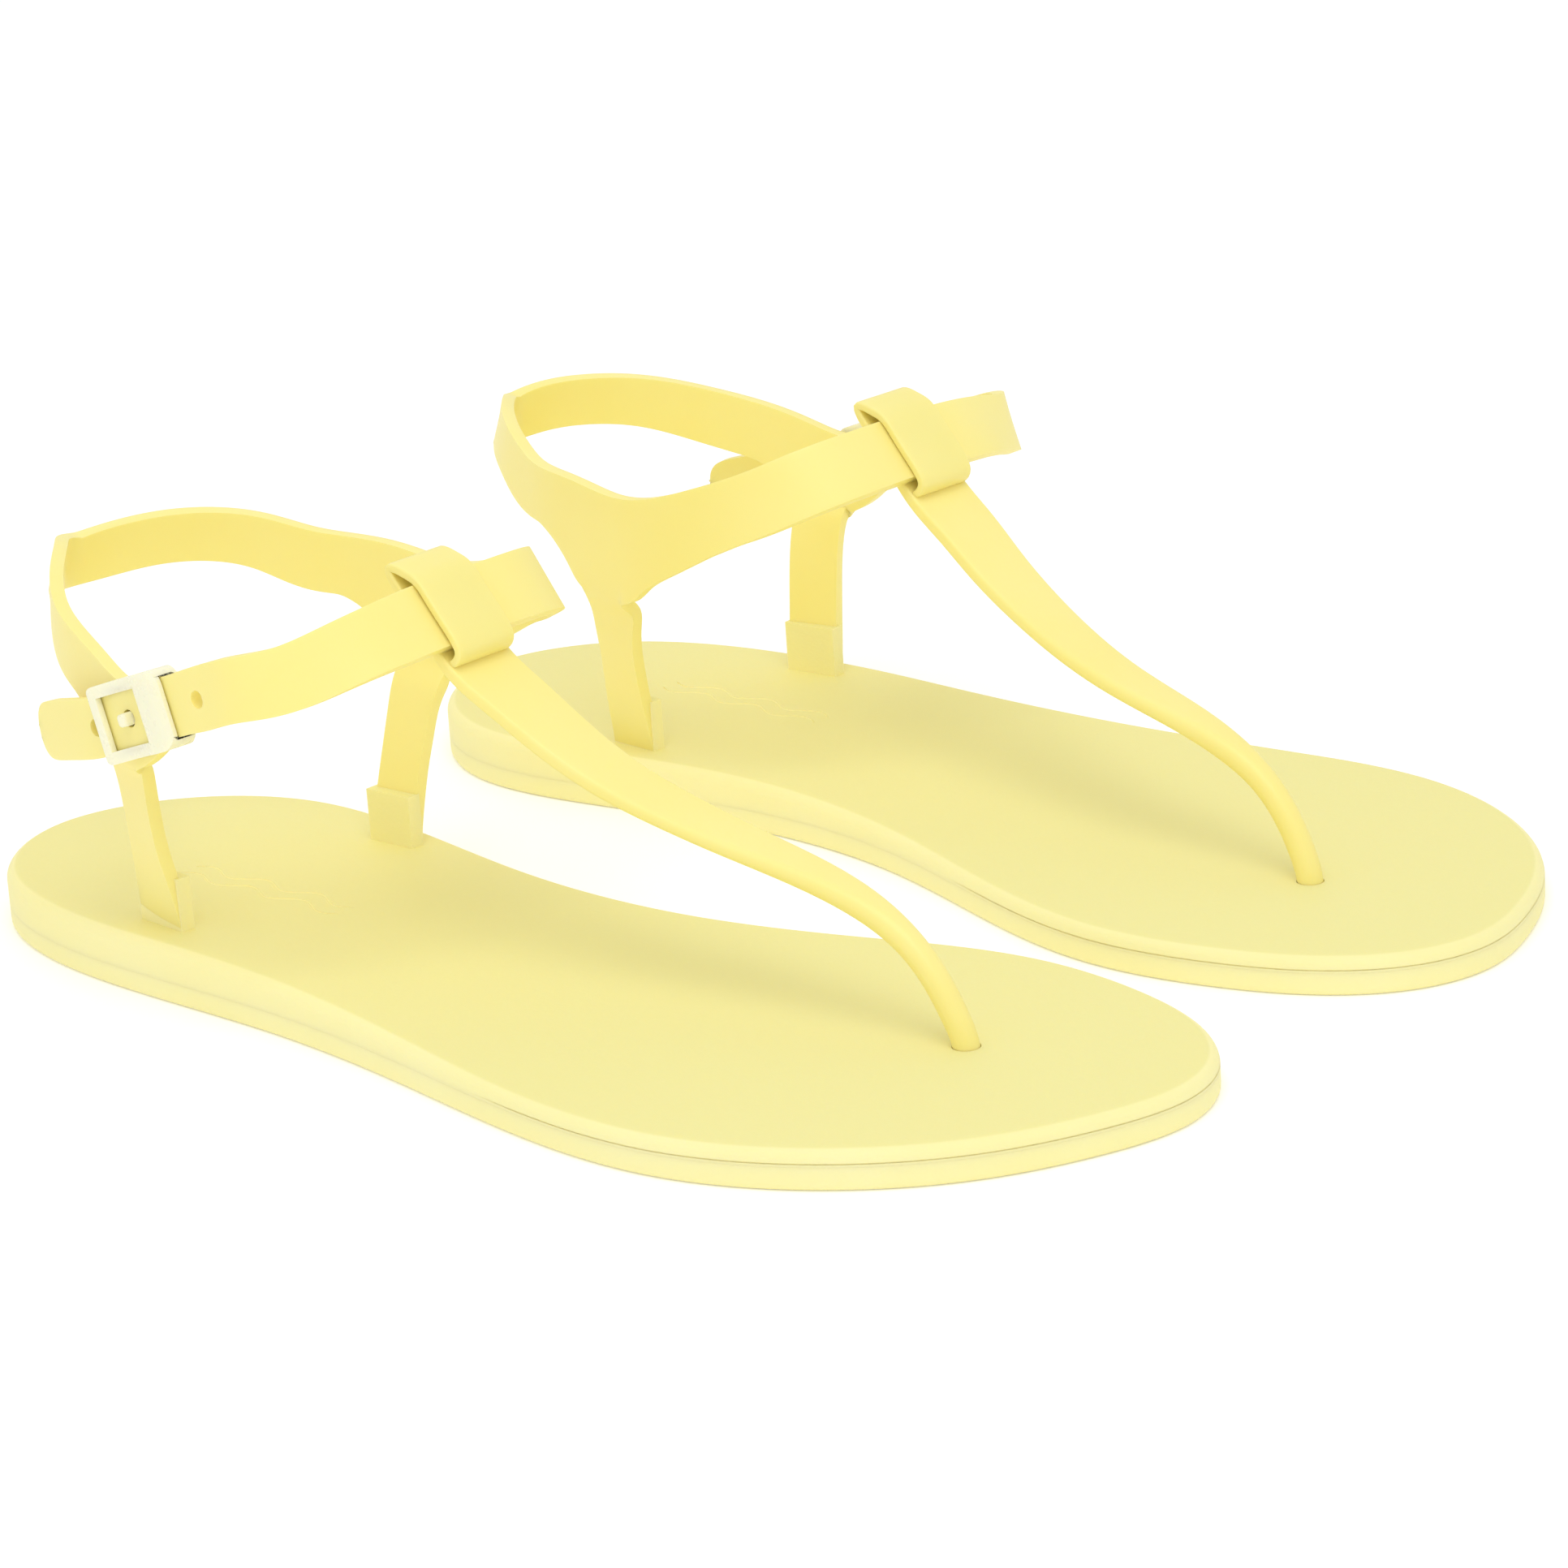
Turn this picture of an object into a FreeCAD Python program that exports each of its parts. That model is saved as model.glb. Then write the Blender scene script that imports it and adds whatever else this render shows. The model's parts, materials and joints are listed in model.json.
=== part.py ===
import FreeCAD, Part
import math
import os
import Sketcher

Vector = FreeCAD.Vector
doc = FreeCAD.newDocument("sandals")

# Driving sizes, millimetres and degrees. Along is measured from the heel, side is positive
# towards the big toe, and up is measured from the floor.
SIZES = {
    "sole_length": 250,
    "heel_width": 68,
    "ball_width": 95.5,
    "outsole_height": 4,
    "heel_height": 10.5,
    "ball_height": 6.8,
    "tread_depth": 1,
    "tread_width": 2.4,
    "tread_pitch": 9,
    "tread_border": 8,
    "sandal_gap": 18.7,
    "left_forward": 0.8,
    "left_turn": -2.35,
    # straps
    "strap_width": 12,
    "strap_tail_width": 10.4,
    "strap_thickness": 2.4,
    "post_width": 9.8,
    "post_foot_width": 10.8,
    "post_edge_inset": 8,
    "medial_post_along": 64.2,
    "lateral_post_along": 60.2,
    "anchor_length": 20,
    "anchor_width": 8,
    "anchor_height": 2,
    "slot_clearance": 0.2,
    "band_height": 57.5,
    "toe_hole_from_end": 40.7,
    "toe_hole_side": 6.8,
    "toe_post_diameter": 4.6,
    "toe_plug_diameter": 13,
    "toe_strap_width": 13.6,
    "toe_strap_thickness": 2.6,
    # instep loop
    "loop_width": 13.2,
    "loop_wall": 1.8,
    "loop_clearance": 0.3,
    "loop_lean": 40,
    # buckle
    "buckle_along": 71.2,
    "buckle_side": 35.8,
    "buckle_rise": 19.3,
    "buckle_turn": 4,
    "stud_diameter": 2.6,
    "stud_head_diameter": 8.8,
    "stud_head_height": 1.4,
    "hole_clearance": 0.5,
    "hole_pitch": 10,
    "strap_gap": 1.8,
    "frame_length": 20.8,
    "frame_wall": 1.3,
    "frame_rear_bar": 2.4,
    "frame_front_bar": 6.6,
    "frame_back_bar": 2.6,
    "frame_back_wall": 1,
    "frame_clearance": 0.3,
    "frame_corner": 1,
    "hinge_reach": 24,
    "hinge_gap": 0.6,
    "right_tail": 31,
    "left_tail": 42,
}

sheet = doc.addObject("Spreadsheet::Sheet", "sizes")
for row, (alias, value) in enumerate(SIZES.items(), start=1):
    sheet.set(f"A{row}", alias)
    sheet.set(f"B{row}", str(value))
    sheet.setAlias(f"B{row}", alias)
doc.recompute()


def size(alias):
    return float(sheet.get(alias))


def feature(label, shape, placement):
    part = doc.addObject("Part::Feature", label)
    part.Label = label
    part.Shape = shape
    part.Placement = placement
    return part


def bind(part, **expressions):
    for name, expression in expressions.items():
        part.setExpression(name.replace("__", "."), expression)


# ---- sole ----

# share of length, half width, which width it follows, middle line to the side
SOLE_STATIONS = [
    (0.04, 0.645, "heel_width", 0.7),
    (0.12, 0.965, "heel_width", 0.8),
    (0.24, 1.01, "heel_width", -2.0),
    (0.38, 0.95, "heel_width", -5.5),
    (0.52, 0.755, "ball_width", -6.7),
    (0.66, 0.935, "ball_width", -4.6),
    (0.77, 1.0, "ball_width", -1.9),
    (0.87, 0.87, "ball_width", 1.2),
    (0.945, 0.61, "ball_width", 5.6),
    (0.985, 0.31, "ball_width", 9.6),
]


def sole_edges():
    medial = []
    lateral = []
    for share, half, width, middle in SOLE_STATIONS:
        along = share * size("sole_length")
        reach = half * size(width) / 2
        medial.append((along, middle + reach))
        lateral.append((along, middle - reach))
    return medial, lateral


def edge_side(edge, along):
    for (x0, y0), (x1, y1) in zip(edge, edge[1:]):
        if x0 <= along <= x1:
            return y0 + (y1 - y0) * (along - x0) / (x1 - x0)
    return edge[0][1]


MEDIAL_EDGE, LATERAL_EDGE = sole_edges()
TOE_HOLE = size("sole_length") - size("toe_hole_from_end")
MEDIAL_SLOT = edge_side(MEDIAL_EDGE, size("medial_post_along")) - size("post_edge_inset")
LATERAL_SLOT = edge_side(LATERAL_EDGE, size("lateral_post_along")) + size("post_edge_inset")


def sole_face(hand):
    points = [Vector(0, 0, 0)]
    points += [Vector(x, hand * y, 0) for x, y in MEDIAL_EDGE]
    points += [Vector(size("sole_length"), hand * 12, 0)]
    points += [Vector(x, hand * y, 0) for x, y in reversed(LATERAL_EDGE)]
    curve = Part.BSplineCurve()
    curve.interpolate(points, PeriodicFlag=True)
    return Part.Face(Part.Wire([curve.toShape()]))


# ---- where each sandal stands: the pair's box is centred on the origin ----

def loose_placement(hand):
    if hand > 0:
        return FreeCAD.Placement()
    turn = FreeCAD.Rotation(Vector(0, 0, 1), size("left_turn"))
    across = size("ball_width") + size("sandal_gap")
    return FreeCAD.Placement(Vector(size("left_forward"), across, 0), turn)


def pair_middle():
    spots = []
    for hand in (1, -1):
        rim = sole_face(hand).OuterWire.discretize(400)
        spots += [loose_placement(hand).multVec(point) for point in rim]
    ends = [[pick(spot[axis] for spot in spots) for pick in (min, max)] for axis in (0, 1)]
    return Vector(sum(ends[0]) / 2, sum(ends[1]) / 2, 0)


PAIR_MIDDLE = pair_middle()


def sandal_placement(hand):
    placement = loose_placement(hand)
    placement.Base = placement.Base - PAIR_MIDDLE
    return placement


def top_height(along):
    share = min(max((along / size("sole_length") - 0.25) / 0.42, 0), 1)
    blend = share * share * (3 - 2 * share)
    return size("heel_height") + (size("ball_height") - size("heel_height")) * blend


def side_profile():
    length = size("sole_length")
    points = [Vector(length * step / 12, 0, top_height(length * step / 12)) for step in range(13)]
    points[0] = Vector(-10, 0, top_height(0))
    points[-1] = Vector(length + 10, 0, top_height(length))
    curve = Part.BSplineCurve()
    curve.interpolate(points)
    low = size("outsole_height")
    corners = [points[-1], Vector(length + 10, 0, low), Vector(-10, 0, low), points[0]]
    wire = Part.Wire([curve.toShape(), Part.makePolygon(corners)])
    return Part.Face(wire)


def slot_box(along, side, length, width, low, high):
    corner = Vector(along - length / 2, side - width / 2, low)
    return Part.makeBox(length, width, high - low, corner)


def anchor_places(hand):
    return [
        (size("medial_post_along"), hand * MEDIAL_SLOT),
        (size("lateral_post_along"), hand * LATERAL_SLOT),
    ]


def outsole(side, hand):
    height = size("outsole_height")
    depth = size("tread_depth")
    slack = size("slot_clearance")
    shape = sole_face(hand).extrude(Vector(0, 0, height))
    low = height - size("anchor_height")
    for along, across in anchor_places(hand):
        length = size("anchor_length") + 2 * slack
        width = size("anchor_width") + 2 * slack
        shape = shape.cut(slot_box(along, across, length, width, low, height + 1))
    plug = Part.makeCylinder(
        size("toe_plug_diameter") / 2 + slack, height,
        Vector(TOE_HOLE, hand * size("toe_hole_side"), low))
    shape = shape.cut(plug)
    for first, count in ((0.08, 6), (0.56, 9)):
        for number in range(count):
            along = first * size("sole_length") + number * size("tread_pitch")
            ends = [edge_side(edge, along) for edge in (MEDIAL_EDGE, LATERAL_EDGE)]
            middle = hand * (ends[0] + ends[1]) / 2
            width = ends[0] - ends[1] - 2 * size("tread_border")
            groove = slot_box(along, middle, size("tread_width"), width, -1, depth)
            shape = shape.cut(groove)
    return feature(f"{side}_outsole", shape, sandal_placement(hand))


def footbed(side, hand):
    low = size("outsole_height")
    slack = size("slot_clearance")
    block = sole_face(hand).extrude(Vector(0, 0, 30))
    slab = side_profile().extrude(Vector(0, 200, 0))
    slab.translate(Vector(0, -100, 0))
    shape = block.common(slab)
    for along, across in anchor_places(hand):
        length = size("post_foot_width") + 2 * slack
        width = size("strap_thickness") + 2 * slack
        shape = shape.cut(slot_box(along, across, length, width, low - 1, 30))
    hole = Part.makeCylinder(
        size("toe_post_diameter") / 2 + slack, 30,
        Vector(TOE_HOLE, hand * size("toe_hole_side"), 0))
    return feature(f"{side}_footbed", shape.cut(hole), sandal_placement(hand))


# ---- straps as lofts of cross sections ----

def rectangle(centre, wide, thick, width, thickness):
    w = wide * (width / 2)
    n = thick * (thickness / 2)
    return Part.makePolygon([centre + w + n, centre + w - n, centre - w - n, centre - w + n,
                             centre + w + n])


def tangents(points):
    result = []
    for index in range(len(points)):
        before = points[max(index - 1, 0)]
        after = points[min(index + 1, len(points) - 1)]
        result.append((after - before).normalize())
    return result


def band_frame(tangent, lean, hand):
    """Width and thickness directions of a strap on edge that leans outwards at its foot."""
    flat = Vector(tangent.x, tangent.y, 0).normalize()
    outward = Vector(-flat.y, flat.x, 0) * hand
    angle = math.radians(lean)
    wide = Vector(0, 0, math.cos(angle)) - outward * math.sin(angle)
    wide = (wide - tangent * wide.dot(tangent)).normalize()
    return wide, tangent.cross(wide).normalize()


def ribbon(stations, hand, thickness):
    points = [Vector(x, hand * y, z) for x, y, z, lean, width in stations]
    wires = []
    for point, tangent, station in zip(points, tangents(points), stations):
        wide, thick = band_frame(tangent, station[3], hand)
        wires.append(rectangle(point, wide, thick, station[4], thickness))
    return Part.makeLoft(wires, True, False)


# ---- buckle frame of reference: x along the strap, y across it, z outwards ----

def buckle_axes():
    turn = math.radians(size("buckle_turn"))
    rise = math.radians(size("buckle_rise"))
    along = Vector(math.cos(turn) * math.cos(rise), -math.sin(turn) * math.cos(rise),
                   math.sin(rise))
    out = Vector(-math.sin(turn), -math.cos(turn), 0)
    return along, out.cross(along), out


ALONG, ACROSS, OUT = buckle_axes()
TAB_CENTRE = Vector(size("buckle_along"), -size("buckle_side"), size("band_height") - 4.7)
LAYER = size("strap_thickness") + size("strap_gap")
STRAP_CENTRE = TAB_CENTRE + OUT * LAYER
HINGE_POINT = STRAP_CENTRE + ALONG * size("hinge_reach")


def buckle_placement(hand, centre):
    x = Vector(ALONG.x, hand * ALONG.y, ALONG.z)
    z = Vector(OUT.x, hand * OUT.y, OUT.z)
    local = FreeCAD.Placement(Vector(centre.x, hand * centre.y, centre.z),
                              FreeCAD.Rotation(x, z.cross(x), z, "ZXY"))
    return sandal_placement(hand).multiply(local)


# ---- heel harness ----

def band_stations():
    """Tab, round the heel, past the medial post, through the loop, to the lateral hinge."""
    width = size("strap_width")
    tail = size("strap_tail_width")
    up = size("band_height")
    tab = [TAB_CENTRE + ALONG * step for step in (9, 3, -4)]
    hinge = [HINGE_POINT + ALONG * step for step in (4.5, size("hinge_gap"))]
    rows = [(p.x, p.y, p.z, 0, tail) for p in tab]
    rows += [
        (54, -32.4, up - 3.2, 0, width - 1),
        (38.7, -26.2, up + 1.3, 1, width - 1.2),
        (28.4, -18.1, up + 4.9, 5, width - 2.2),
        (19.6, -9.8, up + 5.9, 11, width - 2.4),
        (13.6, -3.9, up + 4.9, 15, width - 2.4),
        (11.7, 0.8, up + 4.0, 17, width - 2.4),
        (16.6, 7.7, up + 5.4, 16, width - 2.4),
        (26, 16.6, up + 6.6, 12, width - 2.4),
        (36, 23.9, up + 4.8, 6, width - 1.8),
        (44.6, 27.9, up + 1.8, 2, width - 0.8),
        (51, 30.2, up + 1.1, 0, width - 1),
        (65, 32.4, up - 0.7, 0, width),
        (79, 32.5, up - 1.4, 3, width),
        (91, 30.6, up + 1.7, 8, width),
        (101, 26.8, up + 5.2, 16, width),
        (108.2, 20.9, up + 8.6, 27, width),
        (112, 13.2, up + 10.4, 36, width),
    ]
    loop = loop_centre()
    for step in (6, 0, -6):
        rows.append((loop.x, loop.y + step, loop.z, size("loop_lean"), width))
    rows += [
        (112.2, -19.6, up + 10.2, 36, width - 0.6),
        (109.4, -28.6, up + 8.4, 28, width - 1),
        (104.4, -38, up + 6, 14, width - 1),
    ]
    rows += [(p.x, p.y, p.z, 0, width - 1.2) for p in hinge]
    return rows


def loop_centre():
    return Vector(112.8, -4.3, size("band_height") + 10.8)


def post(along, side, rows, hand):
    """A flat post: straight up through its slot, then leaning out to the band."""
    low = size("outsole_height") - size("anchor_height")
    width = size("post_foot_width")
    thickness = size("strap_thickness")
    top = size("heel_height") + 0.3
    rise = size("band_height") - top - 1.5
    stations = [(along, side, top, width, 0)]
    stations += [(x, y, top + 1.5 + share * rise, wide, turn) for x, y, share, wide, turn in rows]
    wires = []
    for x, y, z, wide, turn in stations:
        centre = Vector(x, hand * y, z)
        c = math.cos(math.radians(turn))
        s = math.sin(math.radians(turn)) * hand
        wires.append(rectangle(centre, Vector(c, s, 0), Vector(-s, c, 0), wide, thickness))
    foot = slot_box(along, hand * side, width, thickness, low, top)
    anchor = slot_box(along, hand * side, size("anchor_length"), size("anchor_width"), low,
                      low + size("anchor_height"))
    return Part.makeLoft(wires, True, False).multiFuse([foot, anchor])


def heel_harness(side, hand):
    width = size("post_width")
    along = size("medial_post_along")
    medial_rows = [
        (along, MEDIAL_SLOT, 0, size("post_foot_width"), 0),
        (along, MEDIAL_SLOT + 2, 0.1704, width, 1.5),
        (along + 1.1, MEDIAL_SLOT + 4.1, 0.3916, width, 5),
        (along + 2.1, MEDIAL_SLOT + 5.5, 0.5686, width + 0.7, 1),
        (along + 4, 31, 0.7013, width + 4, 0),
        (along + 6.2, 32, 0.8053, width + 15, 0),
        (along + 7, 32.3, 0.8716, width + 23, 0),
    ]
    along = size("lateral_post_along")
    lateral_rows = [
        (along, LATERAL_SLOT, 0, size("post_foot_width"), -5),
        (along - 0.4, LATERAL_SLOT - 1.2, 0.1704, width + 0.4, -11),
        (along - 0.6, LATERAL_SLOT - 2.4, 0.3916, width, -17),
        (along - 0.3, LATERAL_SLOT - 3.1, 0.5686, width, -16),
        (along + 0.6, -33.1, 0.7013, width + 2, -6),
        (along + 1.2, -34.4, 0.7788, width + 5.5, 0),
        (along + 1.6, -35.1, 0.8319, width + 8, 0),
    ]
    shape = ribbon(band_stations(), hand, size("strap_thickness"))
    for place, across, rows in (
            (size("medial_post_along"), MEDIAL_SLOT, medial_rows),
            (size("lateral_post_along"), LATERAL_SLOT, lateral_rows)):
        shape = shape.fuse(post(place, across, rows, hand))
    half = size("strap_thickness") / 2
    head = size("stud_head_height")
    hole = stud_cylinder(hand, TAB_CENTRE, size("stud_diameter") / 2 + 0.05)
    seat = stud_cylinder(hand, TAB_CENTRE, size("stud_head_diameter") / 2, -half - head, head)
    collar = stud_cylinder(hand, TAB_CENTRE, size("stud_diameter"), half, size("strap_gap") - 0.3)
    shape = shape.cut([hole, seat, collar])
    return feature(f"{side}_heel_harness", shape, sandal_placement(hand))


def stud_cylinder(hand, centre, radius, start=-3, height=6):
    out = Vector(OUT.x, hand * OUT.y, OUT.z)
    foot = Vector(centre.x, hand * centre.y, centre.z) + out * start
    return Part.makeCylinder(radius, height, foot, out)


# ---- free end of the ankle strap ----

def strap_end(side, hand):
    tail = size(f"{side}_tail")
    wide = size("strap_width") - 1.2
    narrow = size("strap_tail_width")
    rows = []
    for step, width in ((size("hinge_reach"), wide), (19.5, wide), (15, narrow),
                        (9, narrow), (3, narrow), (-3, narrow), (-8, narrow), (-12, narrow)):
        point = STRAP_CENTRE + ALONG * step
        rows.append((point.x, point.y, point.z, 0, width))
    heading = math.radians(180 + size("buckle_turn"))
    point = STRAP_CENTRE - ALONG * 12
    travelled = 12
    while travelled < tail - 0.1:
        step = min(5.5, tail - travelled)
        travelled += step
        heading += math.radians(5) * step / 5.5 if travelled < 28 else 0
        x = point.x + step * math.cos(heading) * 0.97
        y = point.y - step * math.sin(heading) * 0.97
        point = Vector(x, y, point.z - step * math.sin(math.radians(size("buckle_rise"))) * 0.7)
        left = tail - travelled
        rows.append((point.x, point.y, point.z, 0, narrow * (0.62 if left < 0.1 else 1)))
    shape = ribbon(list(reversed(rows)), hand, size("strap_thickness") - 0.2)
    radius = (size("stud_diameter") + size("hole_clearance")) / 2
    for number in (-1, 0, 1, 2):
        centre = STRAP_CENTRE + ALONG * (number * size("hole_pitch"))
        shape = shape.cut(stud_cylinder(hand, centre, radius))
    return feature(f"{side}_strap_end", shape, sandal_placement(hand))


# ---- toe strap ----

def rounded_section(centre, wide, thick, width, thickness, squareness):
    points = []
    for number in range(16):
        angle = math.tau * (number + 0.5) / 16
        c = math.cos(angle)
        s = math.sin(angle)
        reach = (abs(c) ** squareness + abs(s) ** squareness) ** (-1 / squareness)
        points.append(centre + wide * (reach * c * width / 2) + thick * (reach * s * thickness / 2))
    curve = Part.BSplineCurve()
    curve.interpolate(points, PeriodicFlag=True)
    return Part.Wire([curve.toShape()])


def toe_strap(side, hand):
    across = size("toe_hole_side")
    post_size = size("toe_post_diameter")
    flat = size("toe_strap_width")
    thin = size("toe_strap_thickness")
    low = size("ball_height")
    drop = size("band_height") - low
    floor = size("outsole_height") - size("anchor_height")
    lean = math.radians(size("loop_lean"))
    start = loop_centre() + Vector(math.sin(lean), 0, -math.cos(lean)) * (loop_height() / 2)
    rows = [
        (0, start.y, start.z, size("loop_width"), thin, 6),
        (0.0678, -3.5, low + 0.9546 * drop, flat, thin, 6),
        (0.1599, -2.2, low + 0.8304 * drop, flat - 0.6, thin, 6),
        (0.2847, -0.4, low + 0.7041 * drop, flat - 1.8, thin, 6),
        (0.4052, 1.7, low + 0.6174 * drop, flat - 2.8, thin, 5),
        (0.5148, 3.3, low + 0.5562 * drop, flat - 3.8, thin + 0.1, 4),
        (0.6243, 4.4, low + 0.5069 * drop, flat - 5, thin + 0.4, 3.4),
        (0.7229, 5.1, low + 0.4596 * drop, flat - 6.3, thin + 0.9, 2.8),
        (0.8105, 5.6, low + 0.4004 * drop, post_size + 1.2, post_size - 0.6, 2.4),
        (0.8828, 5.9, low + 0.3235 * drop, post_size + 0.3, post_size - 0.3, 2),
        (0.9398, 6.2, low + 0.2189 * drop, post_size + 0.1, post_size - 0.1, 2),
        (0.9792, 6.5, low + 0.1006 * drop, post_size, post_size, 2),
        (1, across, low - 0.4, post_size, post_size, 2),
        (1, across, floor + 0.5, post_size, post_size, 2),
    ]
    reach = TOE_HOLE - start.x
    points = [Vector(start.x + row[0] * reach, hand * row[1], row[2]) for row in rows]
    lines = tangents(points)
    lines[0] = Vector(math.sin(lean), 0, -math.cos(lean))
    lines[-1] = Vector(0, 0, -1)
    lines[-2] = Vector(0, 0, -1)
    wires = []
    for point, tangent, row in zip(points, lines, rows):
        wide = Vector(0, hand, 0)
        wide = (wide - tangent * wide.dot(tangent)).normalize()
        wires.append(rounded_section(point, wide, tangent.cross(wide), row[3], row[4], row[5]))
    plug = Part.makeCylinder(size("toe_plug_diameter") / 2, size("anchor_height"),
                             Vector(TOE_HOLE, hand * across, floor))
    shape = Part.makeLoft(wires, True, False).fuse(plug)
    return feature(f"{side}_toe_strap", shape, sandal_placement(hand))


# ---- PartDesign pieces ----

def body_plane(body, role):
    return next(item for item in body.Origin.OriginFeatures if item.Role == role)


def rectangle_sketch(body, label, plane, wide, tall, right="0", raised="0"):
    sketch = body.newObject("Sketcher::SketchObject", label)
    sketch.AttachmentSupport = [(body_plane(body, plane), "")]
    sketch.MapMode = "FlatFace"
    corners = [Vector(-5, -4, 0), Vector(5, -4, 0), Vector(5, 4, 0), Vector(-5, 4, 0)]
    for index in range(4):
        sketch.addGeometry(Part.LineSegment(corners[index], corners[(index + 1) % 4]), False)
    for index in range(4):
        sketch.addConstraint(Sketcher.Constraint("Coincident", index, 2, (index + 1) % 4, 1))
    for kind, index in (("Horizontal", 0), ("Horizontal", 2), ("Vertical", 1), ("Vertical", 3)):
        sketch.addConstraint(Sketcher.Constraint(kind, index))
    named = (
        ("wide", Sketcher.Constraint("DistanceX", 0, 1, 0, 2, 10), wide),
        ("tall", Sketcher.Constraint("DistanceY", 1, 1, 1, 2, 8), tall),
        ("right", Sketcher.Constraint("DistanceX", -1, 1, 0, 2, 5), f"({wide}) / 2 + {right}"),
        ("raised", Sketcher.Constraint("DistanceY", -1, 1, 2, 1, 4), f"({tall}) / 2 + {raised}"),
    )
    for name, constraint, expression in named:
        index = sketch.addConstraint(constraint)
        sketch.renameConstraint(index, name)
        sketch.setExpression(f"Constraints.{name}", expression)
    return sketch


def pad(body, label, sketch, length):
    result = body.newObject("PartDesign::Pad", label)
    result.Profile = sketch
    result.Midplane = True
    result.setExpression("Length", length)
    sketch.Visibility = False
    return result


def pocket(body, label, sketch, length, both=True):
    result = body.newObject("PartDesign::Pocket", label)
    result.Profile = sketch
    result.Midplane = both
    result.setExpression("Length", length)
    sketch.Visibility = False
    return result


def fillet_edges(body, label, picks, radius):
    base = body.Tip
    names = [f"Edge{number}" for number, edge in enumerate(base.Shape.Edges, start=1)
             if picks(edge)]
    result = body.newObject("PartDesign::Fillet", label)
    result.Base = (base, names)
    result.setExpression("Radius", radius)
    return result


def loop_height():
    return size("strap_width") + 2 * size("loop_clearance") + 2 * size("loop_wall")


def instep_loop(side, hand):
    """A sleeve: x out of the foot, y up along the strap's width, padded along the strap."""
    body = doc.addObject("PartDesign::Body", f"{side}_instep_loop")
    body.Label = f"{side}_instep_loop"
    inner_wide = "(sizes.strap_thickness + 2 * sizes.loop_clearance)"
    inner_tall = "(sizes.strap_width + 2 * sizes.loop_clearance)"
    outer = rectangle_sketch(body, f"{side}_loop_outer", "XY_Plane",
                             f"{inner_wide} + 2 * sizes.loop_wall",
                             f"{inner_tall} + 2 * sizes.loop_wall")
    pad(body, f"{side}_loop_pad", outer, "sizes.loop_width")
    slot = rectangle_sketch(body, f"{side}_loop_slot", "XY_Plane", inner_wide, inner_tall)
    pocket(body, f"{side}_loop_pocket", slot, "sizes.loop_width + 2")
    doc.recompute()
    half = loop_height() / 2

    def is_outer(edge):
        return abs(abs(edge.CenterOfMass.y) - half) < 0.01 and abs(edge.CenterOfMass.z) < 0.01

    fillet_edges(body, f"{side}_loop_rounding", is_outer, "sizes.loop_wall * 0.5")
    lean = math.radians(size("loop_lean"))
    out = Vector(math.cos(lean), 0, math.sin(lean))
    tall = Vector(-math.sin(lean), 0, math.cos(lean))
    centre = loop_centre()
    local = FreeCAD.Placement(Vector(centre.x, hand * centre.y, centre.z),
                              FreeCAD.Rotation(out, tall, out.cross(tall), "ZXY"))
    body.Placement = sandal_placement(hand).multiply(local)
    return body


def buckle_frame(side, hand):
    """A keeper: x along the strap, y across it, z outwards from the strap's middle."""
    body = doc.addObject("PartDesign::Body", f"{side}_buckle_frame")
    body.Label = f"{side}_buckle_frame"
    slot_tall = "(sizes.strap_tail_width + 2 * sizes.frame_clearance)"
    slot_deep = "(sizes.strap_thickness - 0.2 + 2 * sizes.frame_clearance)"
    extra = "(sizes.frame_wall - sizes.frame_back_wall) / 2"
    outer = rectangle_sketch(body, f"{side}_frame_outer", "YZ_Plane",
                             f"{slot_tall} + 2 * sizes.frame_wall",
                             f"{slot_deep} + sizes.frame_wall + sizes.frame_back_wall",
                             "0", extra)
    pad(body, f"{side}_frame_pad", outer, "sizes.frame_length")
    slot = rectangle_sketch(body, f"{side}_frame_slot", "YZ_Plane", slot_tall, slot_deep)
    pocket(body, f"{side}_frame_pocket", slot, "sizes.frame_length + 2")
    window_wide = "(sizes.frame_length - sizes.frame_rear_bar - sizes.frame_front_bar)"
    window_shift = "(sizes.frame_rear_bar - sizes.frame_front_bar) / 2"
    window_tall = "(sizes.strap_tail_width - 1)"
    window = rectangle_sketch(body, f"{side}_frame_window", "XY_Plane", window_wide,
                              window_tall, window_shift)
    front = pocket(body, f"{side}_frame_front", window, "10", False)
    front.Reversed = True
    back_wide = "(sizes.frame_length - 2 * sizes.frame_back_bar)"
    opening = rectangle_sketch(body, f"{side}_frame_back_opening", "XY_Plane", back_wide,
                               f"{slot_tall}")
    pocket(body, f"{side}_frame_back", opening, "10", False)
    doc.recompute()
    half = size("frame_length") / 2
    reach = size("strap_tail_width") / 2 + size("frame_clearance") + size("frame_wall")

    def is_corner(edge):
        centre = edge.CenterOfMass
        at_end = abs(abs(centre.x) - half) < 0.01
        return at_end and abs(abs(centre.y) - reach) < 0.01

    fillet_edges(body, f"{side}_frame_corners", is_corner, "sizes.frame_corner")
    centre = STRAP_CENTRE + ALONG * 1.9
    body.Placement = buckle_placement(hand, centre)
    return body


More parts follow.
